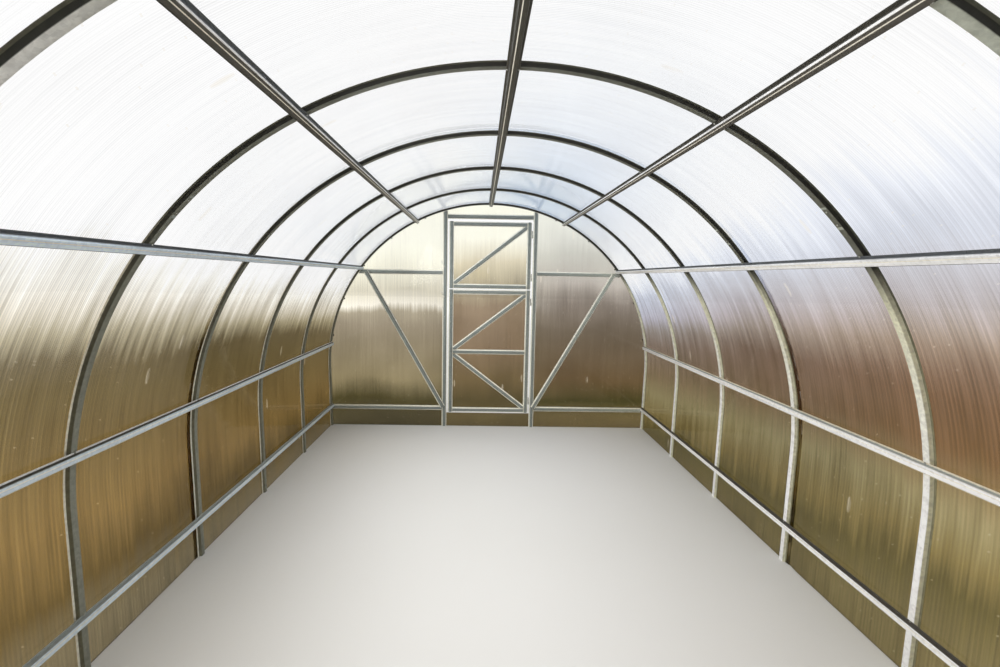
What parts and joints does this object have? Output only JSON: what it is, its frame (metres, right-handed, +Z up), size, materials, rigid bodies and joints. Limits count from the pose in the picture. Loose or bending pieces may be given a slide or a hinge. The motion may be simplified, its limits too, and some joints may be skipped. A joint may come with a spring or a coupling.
{
  "type": "polycarbonate greenhouse",
  "caption": "Walk-in tunnel greenhouse of twin-wall polycarbonate over galvanised hat-section arches and purlins, with a two-leaf door in each end wall.",
  "frame": {"origin": "on the ground at the middle of the plan, between the two end walls", "axes": "+Z up, +Y along the length towards the end that the picture shows, +X to the right seen from the near end"},
  "size_m": [3.0082, 4.0906, 2.1043],
  "materials": {
    "galvanised": "satin",
    "zinc_plate": "satin",
    "polycarbonate": "gloss"
  },
  "bodies": {
    "house": {"arch_1": "galvanised", "arch_2": "galvanised", "arch_3": "galvanised", "arch_4": "galvanised", "arch_5": "galvanised", "arch_6": "galvanised", "arch_7": "galvanised", "ridge_purlin": "galvanised", "roof_purlin_left": "galvanised", "roof_purlin_right": "galvanised", "upper_purlin_left": "galvanised", "upper_purlin_right": "galvanised", "middle_purlin_left": "galvanised", "middle_purlin_right": "galvanised", "bottom_purlin_left": "galvanised", "bottom_purlin_right": "galvanised", "far_roof_sheet": "polycarbonate", "near_roof_sheet": "polycarbonate", "doorway_posts": "galvanised", "lintels": "galvanised", "girts": "galvanised", "bottom_rails": "galvanised", "wall_braces": "galvanised", "far_wall_left": "polycarbonate", "far_wall_right": "polycarbonate", "near_wall_left": "polycarbonate", "near_wall_right": "polycarbonate", "head_sheets": "polycarbonate", "sill_sheets": "polycarbonate", "hinge_seats": "zinc_plate", "latch_hooks": "zinc_plate", "arch_sleeves": "galvanised", "purlin_sleeves": "galvanised", "far_vent_frame": "galvanised", "far_vent_sheet": "polycarbonate", "far_vent_hinges": "zinc_plate", "near_vent_frame": "galvanised", "near_vent_sheet": "polycarbonate", "near_vent_hinges": "zinc_plate"},
    "far_door": {"far_door_frame": "galvanised", "far_door_sheet": "polycarbonate", "far_door_hinges": "zinc_plate"},
    "near_door": {"near_door_frame": "galvanised", "near_door_sheet": "polycarbonate", "near_door_hinges": "zinc_plate"}
  },
  "joints": [
    {"name": "far_door_hinge", "type": "hinge", "parent": "house", "child": "far_door", "pos_m": [0.3875, 2.0308, 0.139], "axis": [0, 0, -1], "range_deg": [0, 180]},
    {"name": "near_door_hinge", "type": "hinge", "parent": "house", "child": "near_door", "pos_m": [-0.3875, -2.0308, 0.139], "axis": [0, 0, -1], "range_deg": [-180, 0]}
  ]
}
